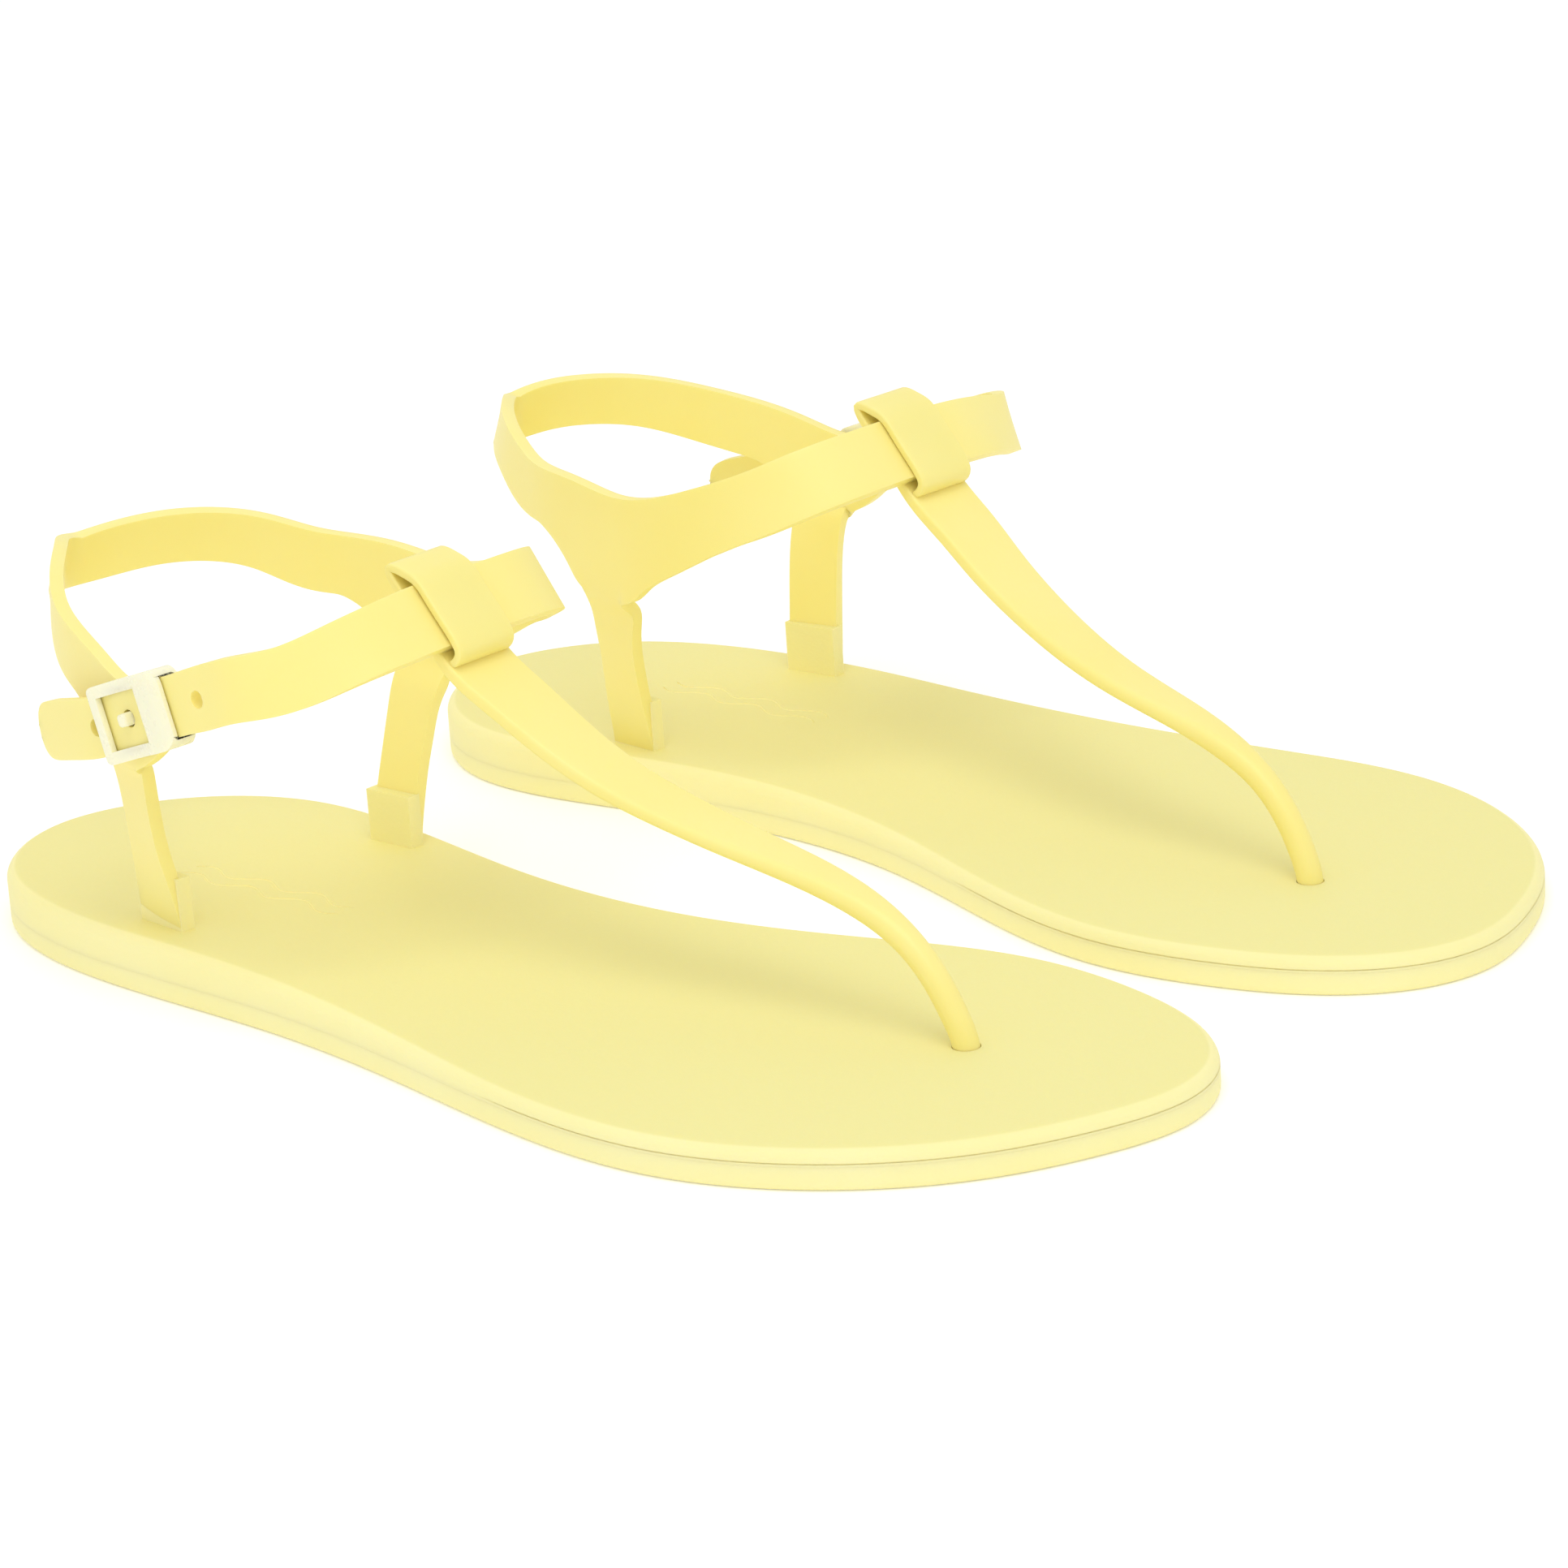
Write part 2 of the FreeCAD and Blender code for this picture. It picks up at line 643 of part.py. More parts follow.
def buckle_stud(side, hand):
    """The rivet: head inside the tab, collar between tab and strap, pin through the strap."""
    stack = "sizes.strap_thickness / 2"
    parts = (
        ("head", "sizes.stud_head_diameter / 2", "sizes.stud_head_height",
         f"-{stack} - sizes.stud_head_height"),
        ("collar", "sizes.stud_diameter", "sizes.strap_gap - 0.3", stack),
        ("pin", "sizes.stud_diameter / 2",
         "2 * sizes.strap_thickness + sizes.strap_gap + 0.6", f"-{stack}"),
    )
    cylinders = []
    for name, radius, height, start in parts:
        cylinder = doc.addObject("Part::Cylinder", f"{side}_stud_{name}")
        bind(cylinder, Radius=radius, Height=height, Placement__Base__z=start)
        cylinders.append(cylinder)
    tip = doc.addObject("Part::Sphere", f"{side}_stud_tip")
    bind(tip, Radius="sizes.stud_diameter / 2",
         Placement__Base__z="1.5 * sizes.strap_thickness + sizes.strap_gap + 0.6")
    stud = doc.addObject("Part::MultiFuse", f"{side}_buckle_stud")
    stud.Label = f"{side}_buckle_stud"
    stud.Shapes = cylinders + [tip]
    stud.Placement = buckle_placement(hand, TAB_CENTRE)
    return stud


BUILDERS = (outsole, footbed, toe_strap, instep_loop, heel_harness, strap_end, buckle_frame,
            buckle_stud)

parts = []
for side, hand in (("right", 1), ("left", -1)):
    for builder in BUILDERS:
        parts.append(builder(side, hand))

doc.recompute()
os.makedirs("parts", exist_ok=True)
for item in doc.Objects:
    if "Invalid" in item.State or "Error" in item.State:
        raise RuntimeError(f"{item.Label} did not build")
for part in parts:
    shape = part.Shape
    if shape.isNull() or not shape.isValid():
        raise RuntimeError(f"{part.Label} is not a valid shape")
    print(part.Label, len(shape.Solids), round(shape.Volume), shape.BoundBox)
    shape.exportStep(f"parts/{part.Label}.step")
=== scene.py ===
import bpy
import bmesh
import json
import math
import numpy as np
from mathutils import Matrix, Vector


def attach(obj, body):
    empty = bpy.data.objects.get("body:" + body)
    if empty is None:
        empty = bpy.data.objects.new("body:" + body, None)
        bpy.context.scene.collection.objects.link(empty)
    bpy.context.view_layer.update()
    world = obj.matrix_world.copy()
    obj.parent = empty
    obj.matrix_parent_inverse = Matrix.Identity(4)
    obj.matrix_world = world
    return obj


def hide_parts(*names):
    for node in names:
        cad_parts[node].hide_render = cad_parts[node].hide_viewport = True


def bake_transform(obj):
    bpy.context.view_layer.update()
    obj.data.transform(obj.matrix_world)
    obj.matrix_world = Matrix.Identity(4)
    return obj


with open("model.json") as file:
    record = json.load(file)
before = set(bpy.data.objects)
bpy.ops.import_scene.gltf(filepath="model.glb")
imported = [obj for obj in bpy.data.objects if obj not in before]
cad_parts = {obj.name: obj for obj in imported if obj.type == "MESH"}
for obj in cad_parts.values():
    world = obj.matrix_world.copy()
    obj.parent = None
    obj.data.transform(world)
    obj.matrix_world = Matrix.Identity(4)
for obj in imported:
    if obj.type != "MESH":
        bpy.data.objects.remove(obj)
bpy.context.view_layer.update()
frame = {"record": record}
record = frame["record"]
joints = {joint["name"]: joint for joint in record["behaviour"]["joints"]}
mounts = {mount["name"]: mount for mount in record["mounts"]}
print("frame loaded")

# every piece is drawn for the right foot in millimetres: x from the heel, y to the big toe, z up

pair = {
    "restPoint": (100, -4),  # where each sole's rest mount is on the sandal
    "leftTurn": -2.35,  # degrees, how far the left sandal is turned
}


def sandalMatrix(side):
    hand = 1 if side == "right" else -1
    turn = 0 if side == "right" else pair["leftTurn"]
    flip = Matrix.Diagonal((0.001, 0.001 * hand, 0.001, 1))
    turned = Matrix.Rotation(math.radians(turn), 4, "Z") @ flip
    rest = Vector(mounts[f"{side}_sole_rest"]["pos_m"])
    foot = turned @ Vector((*pair["restPoint"], 0))
    return Matrix.Translation(rest - foot) @ turned


places = {side: sandalMatrix(side) for side in ("right", "left")}

# the strap and buckle lie along the lateral hinge's own axes
toRight = places["right"].inverted()
hingeSpot = toRight @ Vector(joints["right_strap_open"]["pos_m"])
acrossStrap = Vector(joints["right_strap_open"]["axis"])
alongStrap = Vector(joints["right_keeper_slide"]["axis"])
outStrap = alongStrap.cross(acrossStrap)


def smoothLine(knots, count, closed=False):
    # a natural or closed cubic line through the knots, sampled at even steps
    rows = np.array(knots, float)
    if closed:
        rows = np.vstack([rows, rows[:1]])
    gaps = np.linalg.norm(np.diff(rows[:, :3], axis=0), axis=1)
    at = np.concatenate([[0], np.cumsum(gaps)])
    last = len(rows) - 1
    system = np.eye(last + 1)
    sides = np.zeros_like(rows)
    slopes = np.diff(rows, axis=0) / gaps[:, None]
    for i in range(1, last):
        system[i, i - 1:i + 2] = (gaps[i - 1], 2 * (gaps[i - 1] + gaps[i]), gaps[i])
        sides[i] = 6 * (slopes[i] - slopes[i - 1])
    if closed:
        system[0, 0] = 2 * (gaps[0] + gaps[-1])
        system[0, 1] = gaps[0]
        system[0, last - 1] = gaps[-1]
        sides[0] = 6 * (slopes[0] - slopes[-1])
        system[last, 0] = -1
    bends = np.linalg.solve(system, sides)
    spots = np.linspace(0, at[-1], count + 1 if closed else count)
    if closed:
        spots = spots[:-1]
    result = []
    for spot in spots:
        i = min(int(np.searchsorted(at, spot, side="right")) - 1, last - 1)
        a = (at[i + 1] - spot) / gaps[i]
        b = 1 - a
        curve = ((a ** 3 - a) * bends[i] + (b ** 3 - b) * bends[i + 1]) * gaps[i] ** 2 / 6
        result.append(a * rows[i] + b * rows[i + 1] + curve)
    return np.array(result)


def sweep(rings):
    # extrudes one closed ring from station to station, with a face at each end
    bm = bmesh.new()
    bmesh.ops.create_circle(bm, cap_ends=True, segments=len(rings[0]), radius=1)
    cap = bm.faces[:][0]
    for vert, spot in zip(cap.verts[:], rings[0]):
        vert.co = spot
    for number, ring in enumerate(rings[1:]):
        made = bmesh.ops.extrude_face_region(bm, geom=[cap])
        if number:
            bmesh.ops.delete(bm, geom=[cap], context="FACES_ONLY")
        cap = [part for part in made["geom"] if isinstance(part, bmesh.types.BMFace)][0]
        for vert, spot in zip(cap.verts[:], ring):
            vert.co = spot
    bmesh.ops.recalc_face_normals(bm, faces=bm.faces[:])
    return bm


def settled(bm, name, *modifiers):
    # makes a mesh from bm with the modifiers applied
    mesh = bpy.data.meshes.new(name)
    bm.to_mesh(mesh)
    bm.free()
    worker = bpy.data.objects.new(name, mesh)
    bpy.context.scene.collection.objects.link(worker)
    for kind, settings in modifiers:
        modifier = worker.modifiers.new(kind.title(), kind)
        for key, value in settings.items():
            setattr(modifier, key, value)
    bpy.context.view_layer.update()
    graph = bpy.context.evaluated_depsgraph_get()
    result = bpy.data.meshes.new_from_object(worker.evaluated_get(graph))
    bpy.data.objects.remove(worker)
    result.name = name
    return result


def cutter(bm, name):
    mesh = bpy.data.meshes.new(name)
    bm.to_mesh(mesh)
    bm.free()
    tool = bpy.data.objects.new(name, mesh)
    bpy.context.scene.collection.objects.link(tool)
    tool.hide_render = True
    return tool


def without(mesh, name, tool):
    # the mesh with the tool's shape cut away
    bm = bmesh.new()
    bm.from_mesh(mesh)
    cut = settled(bm, name, ("BOOLEAN", {"object": tool, "operation": "DIFFERENCE",
                                         "solver": "EXACT"}))
    bpy.data.objects.remove(tool)
    return cut


def placed(name, mesh, side, material, body, nodes, sharp=38):
    # stands the right-foot mesh on its sandal, mirrored for the left one
    copy = mesh.copy()
    copy.name = f"{side}{name}"
    copy.transform(places[side])
    if side == "left":
        copy.flip_normals()
    copy.shade_smooth()
    copy.set_sharp_from_angle(angle=math.radians(sharp))
    copy.materials.clear()
    copy.materials.append(material)
    piece = bpy.data.objects.new(f"{side}{name}", copy)
    bpy.context.scene.collection.objects.link(piece)
    if body:
        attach(piece, f"{side}_{body}")
    if nodes:
        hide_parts(*[f"{side}_{node}" for node in nodes])
    return piece


# finishes

finishes = {
    "strapYellow": ((0.96, 0.82, 0.24), (0.98, 0.86, 0.33)),  # two close tones of the moulding
    # rim and wall yellow: the wall's own tone, made paler in part as a painted highlight along the
    # rounded rim
    "wallToneAndPaintedRimHighlight": ((0.96, 0.87, 0.38), (0.98, 0.90, 0.46)),
    "topYellow": (0.88, 0.81, 0.33),
    "cream": ((0.95, 0.91, 0.62), (0.97, 0.94, 0.70)),
    "strapRough": (0.38, 0.52),
    "topRough": (0.62, 0.78),
    "creamRough": (0.22, 0.34),
}


def pvcFinish(name, tones, rough, grain, depth):
    # moulded plastic: faint cloudy colour, uneven gloss and a fine skin
    material = bpy.data.materials.new(name)
    material.use_nodes = True
    tree = material.node_tree
    shader = tree.nodes["Principled BSDF"]
    place = tree.nodes.new("ShaderNodeTexCoord")
    cloud = tree.nodes.new("ShaderNodeTexNoise")
    cloud.inputs["Scale"].default_value = 38
    cloud.inputs["Detail"].default_value = 3
    tree.links.new(place.outputs["Object"], cloud.inputs["Vector"])
    colour = tree.nodes.new("ShaderNodeMix")
    colour.data_type = "RGBA"
    colour.inputs["A"].default_value = (*tones[0], 1)
    colour.inputs["B"].default_value = (*tones[1], 1)
    tree.links.new(cloud.outputs["Fac"], colour.inputs["Factor"])
    tree.links.new(colour.outputs["Result"], shader.inputs["Base Color"])
    skin = tree.nodes.new("ShaderNodeTexNoise")
    skin.inputs["Scale"].default_value = grain
    skin.inputs["Detail"].default_value = 6
    tree.links.new(place.outputs["Object"], skin.inputs["Vector"])
    gloss = tree.nodes.new("ShaderNodeMapRange")
    gloss.inputs["To Min"].default_value = rough[0]
    gloss.inputs["To Max"].default_value = rough[1]
    tree.links.new(skin.outputs["Fac"], gloss.inputs["Value"])
    tree.links.new(gloss.outputs["Result"], shader.inputs["Roughness"])
    bump = tree.nodes.new("ShaderNodeBump")
    bump.inputs["Strength"].default_value = depth
    bump.inputs["Distance"].default_value = 0.0002
    tree.links.new(skin.outputs["Fac"], bump.inputs["Height"])
    tree.links.new(bump.outputs["Normal"], shader.inputs["Normal"])
    shader.inputs["IOR"].default_value = 1.5
    shader.inputs["Subsurface Weight"].default_value = 0.2
    shader.inputs["Subsurface Radius"].default_value = (0.004, 0.003, 0.0012)
    shader.inputs["Subsurface Scale"].default_value = 1
    return material, tree, shader, colour


strapYellow = pvcFinish("satinYellowPvc", finishes["strapYellow"], finishes["strapRough"],
                        900, 0.15)[0]
buckleCream = pvcFinish("creamPlastic", finishes["cream"], finishes["creamRough"], 500, 0.05)[0]


def soleFinish():
    # the flat top is matt and paler than the rim and wall, which share its roughness
    # the rim and wall tone is partly painted highlight, paler than the wall's own yellow
    material, tree, shader, colour = pvcFinish(
        "mattSolePvc", finishes["wallToneAndPaintedRimHighlight"], finishes["topRough"], 1400, 0.35)
    facing = tree.nodes.new("ShaderNodeNewGeometry")
    split = tree.nodes.new("ShaderNodeSeparateXYZ")
    tree.links.new(facing.outputs["Normal"], split.inputs["Vector"])
    top = tree.nodes.new("ShaderNodeMapRange")
    top.interpolation_type = "SMOOTHSTEP"
    top.inputs["From Min"].default_value = 0.9
    top.inputs["From Max"].default_value = 0.995
    tree.links.new(split.outputs["Z"], top.inputs["Value"])
    topTone = tree.nodes.new("ShaderNodeMix")
    topTone.data_type = "RGBA"
    topTone.inputs["B"].default_value = (*finishes["topYellow"], 1)
    tree.links.new(top.outputs["Result"], topTone.inputs["Factor"])
    tree.links.new(colour.outputs["Result"], topTone.inputs["A"])
    tree.links.new(topTone.outputs["Result"], shader.inputs["Base Color"])
    return material


soleYellow = soleFinish()
print("finishes made")

# rounded sections swept along a line


def roundedSection(width, thick, corner, steps=5):
    # a rounded rectangle as (across, out) pairs
    corner = min(corner, width / 2, thick / 2)
    spots = []
    for quarter, (sx, sy) in enumerate(((1, 1), (-1, 1), (-1, -1), (1, -1))):
        for step in range(steps + 1):
            angle = math.radians(90 * (quarter + step / steps))
            spots.append((sx * (width / 2 - corner) + corner * math.cos(angle),
                          sy * (thick / 2 - corner) + corner * math.sin(angle)))
    return spots


def sectionsAlong(line, across):
    # each row of line is x, y, z, width, thickness, corner
    spots = line[:, :3]
    ways = np.gradient(spots, axis=0)
    rings = []
    for row, way in zip(line, ways):
        way = Vector(way).normalized()
        wide = (Vector(across) - way * Vector(across).dot(way)).normalized()
        out = way.cross(wide)
        centre = Vector(row[:3])
        rings.append([centre + wide * a + out * b
                      for a, b in roundedSection(row[3], row[4], row[5])])
    return rings


def box(x0, x1, y0, y1, z0, z1):
    bm = bmesh.new()
    bmesh.ops.create_cube(bm, size=1)
    bmesh.ops.scale(bm, vec=(x1 - x0, y1 - y0, z1 - z0), verts=bm.verts[:])
    bmesh.ops.translate(bm, vec=((x0 + x1) / 2, (y0 + y1) / 2, (z0 + z1) / 2), verts=bm.verts[:])
    return bm


# sole: outsole and footbed from rings of the same outline

sole = {
    "length": 250,
    "heelWidth": 68,
    "ballWidth": 95.5,
    "outsoleHeight": 4,
    "heelHeight": 10.5,
    "ballHeight": 6.8,
    "rimRound": 2.3,
    "segments": 240,
    "toeHole": (209.3, 6.8),
    "toeHoleRadius": 2.4,
    "slots": [((63.95, 23.8), 10.5, 0), ((60.25, -28.1), 11.5, -5.7)],  # middle, length, turn
    "treadBorder": 8,
    "treadPitch": 9,
    "waveReach": (42, 82),
    "waveSide": -6.5,
    "waveDepth": 0.2,
    # share of length, half width, the width it follows, middle line to the side
    "stations": [
        (0.04, 0.645, "heelWidth", 0.7),
        (0.12, 0.965, "heelWidth", 0.8),
        (0.24, 1.01, "heelWidth", -2.0),
        (0.38, 0.95, "heelWidth", -5.5),
        (0.52, 0.755, "ballWidth", -6.7),
        (0.66, 0.935, "ballWidth", -4.6),
        (0.77, 1.0, "ballWidth", -1.9),
        (0.87, 0.87, "ballWidth", 1.2),
        (0.945, 0.61, "ballWidth", 5.6),
        (0.985, 0.31, "ballWidth", 9.6),
    ],
}


def soleOutline():
    # both edges sampled at the same distances from the heel, closer together at the ends
    reach = [(share * sole["length"], half * sole[width] / 2, middle)
             for share, half, width, middle in sole["stations"]]
    knots = [(0, 0, 0)] + [(x, middle + half, 0) for x, half, middle in reach]
    knots += [(sole["length"], 12, 0)]
    knots += [(x, middle - half, 0) for x, half, middle in reversed(reach)]
    line = smoothLine(knots, 2400, closed=True)
    heel = int(np.argmin(line[:, 0]))
    line = np.roll(line, -heel, axis=0)
    toe = int(np.argmax(line[:, 0]))
    inner = line[:toe + 1]
    outer = np.vstack([line[toe:], line[:1]])[::-1]
    ends = (line[0, 0], line[toe, 0])
    ring = []
    half = sole["segments"] // 2
    for step in range(sole["segments"]):
        along = ends[0] + (ends[1] - ends[0]) * (1 - math.cos(math.pi * step / half)) / 2
        edge = inner if step <= half else outer
        ring.append((along, float(np.interp(along, edge[:, 0], edge[:, 1]))))
    return np.array(ring)


def topHeight(along):
    share = min(max((along / sole["length"] - 0.25) / 0.42, 0), 1)
    blend = share * share * (3 - 2 * share)
    return sole["heelHeight"] + (sole["ballHeight"] - sole["heelHeight"]) * blend


outline = soleOutline()
ahead = np.roll(outline, -1, axis=0) - np.roll(outline, 1, axis=0)
inwards = np.stack([ahead[:, 1], -ahead[:, 0]], axis=1)
inwards /= np.linalg.norm(inwards, axis=1)[:, None]
middleLine = np.array([(share * sole["length"], middle)
                       for share, half, width, middle in sole["stations"]])


def soleRing(inset, height):
    # height is a number, or a rule for the height at each distance from the heel
    flat = outline + inwards * inset
    return [(x, y, height(x) if callable(height) else height) for x, y in flat]


def innerRing(share, inset):
    # between the inset outline and the middle line of the sole
    ring = []
    for (x, y, z), (along, side) in zip(soleRing(inset, 0), outline):
        centre = min(max(along, 27), 219)
        across = float(np.interp(centre, middleLine[:, 0], middleLine[:, 1]))
        x += (centre - x) * share
        y += (across - y) * share
        ring.append((x, y, topHeight(x)))
    return ring


def outsoleMesh():
    height = sole["outsoleHeight"]
    steps = [(1.6, 0.0), (0.8, 0.08), (0.3, 0.35), (0.05, 0.8), (0, 1.3),
             (0, height - 0.7), (0, height - 0.12), (0.04, height)]
    bm = sweep([soleRing(inset, z) for inset, z in steps])
    return settled(bm, "outsole")


def footbedMesh():
    low = sole["outsoleHeight"]
    turn = sole["rimRound"]
    rings = [soleRing(inset, low + rise) for inset, rise in ((0.04, 0), (0, 0.12), (0, 0.7))]
    for step in range(9):
        angle = math.radians(90 * step / 8)
        inset = turn * (1 - math.cos(angle))
        drop = turn * (1 - math.sin(angle))
        rings.append(soleRing(inset, lambda x, drop=drop: topHeight(x) - drop))
    rings += [innerRing(share, turn) for share in (0.03, 0.12, 0.3, 0.5, 0.7, 0.88, 1)]
    bm = sweep(rings)
    caps = [face for face in bm.faces if len(face.verts) > 4 and face.verts[0].co.z > low + 1]
    bmesh.ops.delete(bm, geom=caps, context="FACES_ONLY")
    bmesh.ops.remove_doubles(bm, verts=bm.verts[:], dist=0.002)
    bmesh.ops.recalc_face_normals(bm, faces=bm.faces[:])
    return settled(bm, "footbed")


def slotTool(name, middle, length, turn):
    # a tall cutter the size of one strap slot
    bm = box(-length / 2, length / 2, -1.4, 1.4, 2, 20)
    matrix = Matrix.Translation((*middle, 0)) @ Matrix.Rotation(math.radians(turn), 4, "Z")
    bmesh.ops.transform(bm, matrix=matrix, verts=bm.verts[:])
    return cutter(bm, name)


def waveTool(shift):
    # one wavy groove along the heel, just under the surface
    count = 90
    along = np.linspace(*sole["waveReach"], count)
    rows = []
    for number, x in enumerate(along):
        swing = math.sin((x - along[0]) / 13.3 * math.tau) * 1.3
        fade = math.sin(math.pi * number / (count - 1)) ** 0.4
        y = sole["waveSide"] + shift + swing
        rows.append((x, y, topHeight(x) + 0.12, max(0.15, 0.9 * fade), 0.7, 0.3))
    return cutter(sweep(sectionsAlong(np.array(rows), (0, 1, 0))), "wave")


def treadTool():
    # grooves across the underside, inside the border
    bm = bmesh.new()
    spot = sole["treadBorder"] + 6
    while spot < sole["length"] - sole["treadBorder"] - 4:
        groove = box(spot - 1.2, spot + 1.2, -60, 60, -1, 1)
        part = bpy.data.meshes.new("groove")
        groove.to_mesh(part)
        groove.free()
        bm.from_mesh(part)
        bpy.data.meshes.remove(part)
        spot += sole["treadPitch"]
    lines = cutter(bm, "lines")
    inside = sweep([soleRing(sole["treadBorder"], z) for z in (-2, 2)])
    grooves = settled(inside, "grooves", ("BOOLEAN", {"object": lines, "operation": "INTERSECT",
                                                      "solver": "EXACT"}))
    bpy.data.objects.remove(lines)
    bm = bmesh.new()
    bm.from_mesh(grooves)
    return cutter(bm, "grooves")


outsoleShape = without(outsoleMesh(), "outsole", treadTool())
footbedShape = footbedMesh()
for shift in (-1.9, 1.9):
    footbedShape = without(footbedShape, "footbed", waveTool(shift))
for middle, length, turn in sole["slots"]:
    footbedShape = without(footbedShape, "footbed", slotTool("slot", middle, length, turn))
hole = bmesh.new()
bmesh.ops.create_cone(hole, cap_ends=True, segments=40, radius1=sole["toeHoleRadius"],
                      radius2=sole["toeHoleRadius"], depth=30,
                      matrix=Matrix.Translation((*sole["toeHole"], 8)))
footbedShape = without(footbedShape, "footbed", cutter(hole, "hole"))
print("soles made")

# toe strap, folded over the ankle strap at its top

toeStrap = {
    "loopCentre": (112.8, -4.3, 68.3),
    "loopLean": 40,
    "rings": 300,
    # x, y, z, width, thickness, corner: up from the plug to the instep
    "rows": [
        (209.3, 6.8, 2.6, 4.5, 4.5, 2.25),
        (209.3, 6.8, 6.6, 4.5, 4.5, 2.25),
        (207.4, 6.5, 11.9, 4.6, 4.5, 2.2),
        (203.8, 6.2, 17.9, 4.7, 4.4, 2.1),
        (198.6, 5.9, 23.2, 5.0, 4.3, 2.0),
        (192.0, 5.6, 27.1, 6.0, 4.0, 1.8),
        (184.0, 5.1, 30.1, 7.4, 3.5, 1.55),
        (175.0, 4.4, 32.5, 8.7, 3.0, 1.3),
        (165.0, 3.3, 35.0, 9.8, 2.7, 1.1),
        (155.0, 1.7, 38.1, 10.8, 2.5, 0.95),
        (144.0, -0.4, 42.5, 11.7, 2.5, 0.8),
        (132.6, -2.2, 48.9, 12.9, 2.5, 0.7),
        (124.2, -3.5, 54.7, 13.7, 2.4, 0.6),
    ],
    # out of the foot, up the strap, width, thickness, corner: the fold round the ankle strap
    "fold": [
        (-2.3, -8.4, 14.2, 2.2, 0.6),
        (-2.4, -3.0, 14.0, 1.9, 0.5),
        (-2.4, 2.5, 13.6, 1.7, 0.5),
        (-2.45, 7.5, 13.2, 1.6, 0.45),
        (-2.35, 10.0, 13.0, 1.5, 0.4),
        (-1.75, 11.1, 13.0, 1.5, 0.4),
        (-0.8, 10.5, 13.0, 1.5, 0.4),
        (0.6, 8.6, 13.0, 1.5, 0.4),
        (1.75, 6.7, 13.0, 1.5, 0.4),
        (2.15, 5.3, 13.0, 1.5, 0.4),
        (2.2, 2.5, 13.0, 1.5, 0.4),
        (2.2, -3.0, 13.0, 1.5, 0.4),
        (2.1, -6.4, 13.0, 1.5, 0.4),
        (1.6, -7.9, 13.0, 1.5, 0.4),
        (0.2, -8.6, 13.0, 1.5, 0.4),
        (-1.6, -8.4, 12.8, 1.3, 0.4),
    ],
}


def toeStrapMesh():
    lean = math.radians(toeStrap["loopLean"])
    out = Vector((math.cos(lean), 0, math.sin(lean)))
    tall = Vector((-math.sin(lean), 0, math.cos(lean)))
    knots = list(toeStrap["rows"])
    for away, up, width, thick, corner in toeStrap["fold"]:
        spot = Vector(toeStrap["loopCentre"]) + out * away + tall * up
        knots.append((*spot, width, thick, corner))
    line = smoothLine(knots, toeStrap["rings"])
    return settled(sweep(sectionsAlong(line, (0, 1, 0))), "toeStrap")


toeStrapShape = toeStrapMesh()
print("toe straps made")

# heel harness: a flat sheet bent round the ankle, with its two posts

harness = {
    "thickness": 2.4,
    "edge": 0.55,
    "columns": 118,
    "tabWidth": 10.4,
    # x, y, z, lean at the foot, width: from past the heel to the middle of the loop
    "band": [
        (54, -32.4, 54.3, 0, 11),
        (38.7, -26.2, 58.8, 1, 10.8),
        (28.4, -18.1, 62.4, 5, 9.8),
        (19.6, -9.8, 63.4, 11, 9.6),
        (13.6, -3.9, 62.4, 15, 9.6),
        (11.7, 0.8, 61.5, 17, 9.6),
        (16.6, 7.7, 62.9, 16, 9.6),
        (26, 16.6, 64.1, 12, 9.6),
        (36, 23.9, 62.3, 6, 10.2),
        (44.6, 27.9, 59.3, 2, 11.2),
        (51, 30.2, 58.6, 0, 11),
        (58, 31.6, 57.9, 0, 11.6),
        (65, 32.4, 56.8, 0, 12),
        (72, 32.7, 55.8, 1, 12),
        (79, 32.5, 56.1, 3, 12),
        (91, 30.6, 59.2, 8, 12),
        (101, 26.8, 62.7, 16, 12),
        (108.2, 20.9, 66.1, 27, 12),
        (112, 13.2, 67.9, 36, 12),
        (112.8, 1.7, 68.3, 40, 12),
        (112.8, -4.3, 68.3, 40, 12),
    ],
    # how far the lower edge dips towards a post: distance from the heel, dip
    "medialDip": [(50, 0), (54.5, 1.6), (57.5, 3.6), (59.8, 5.6), (61.3, 7.6), (63, 8.2),
                  (73.5, 8.2), (75.4, 7.6), (76.7, 5.8), (78.5, 4.3), (81.7, 3.1), (86, 1.9),
                  (91, 0.8), (97, 0)],
    "lateralDip": [(48, 0), (52, 1.2), (55, 4.0), (58, 5.6), (64, 5.6), (68, 3.6), (73, 0.9),
                   (77, 0)],
    # height, rear and front edge, side, turn: down to inside the sole
    "medialPost": [
        (39.3, 61.5, 73.0, 29.7, 0),
        (35, 61.0, 70.8, 28.9, 2),
        (30, 60.6, 70.0, 27.9, 5),
        (25, 60.0, 69.3, 26.8, 3),
        (20, 59.4, 69.0, 25.8, 1.5),
        (15, 59.0, 68.9, 24.7, 0.8),
        (10.5, 58.9, 69.0, 23.8, 0),
        (4.5, 58.9, 69.0, 23.8, 0),
    ],
    "lateralPost": [
        (42, 55.2, 65.6, -32.6, -12),
        (37, 54.8, 64.6, -31.3, -17),
        (30, 54.7, 64.4, -30.5, -18),
        (25, 54.7, 64.6, -30.0, -16),
        (20, 54.8, 65.1, -29.3, -11.6),
        (15, 54.7, 65.6, -28.6, -8),
        (10.5, 54.7, 65.8, -28.1, -5.7),
        (4.5, 54.7, 65.8, -28.1, -5.7),
    ],
}

strapCentre = hingeSpot - alongStrap * 24.2 - outStrap * 1.2
tabCentre = strapCentre - outStrap * 4.2


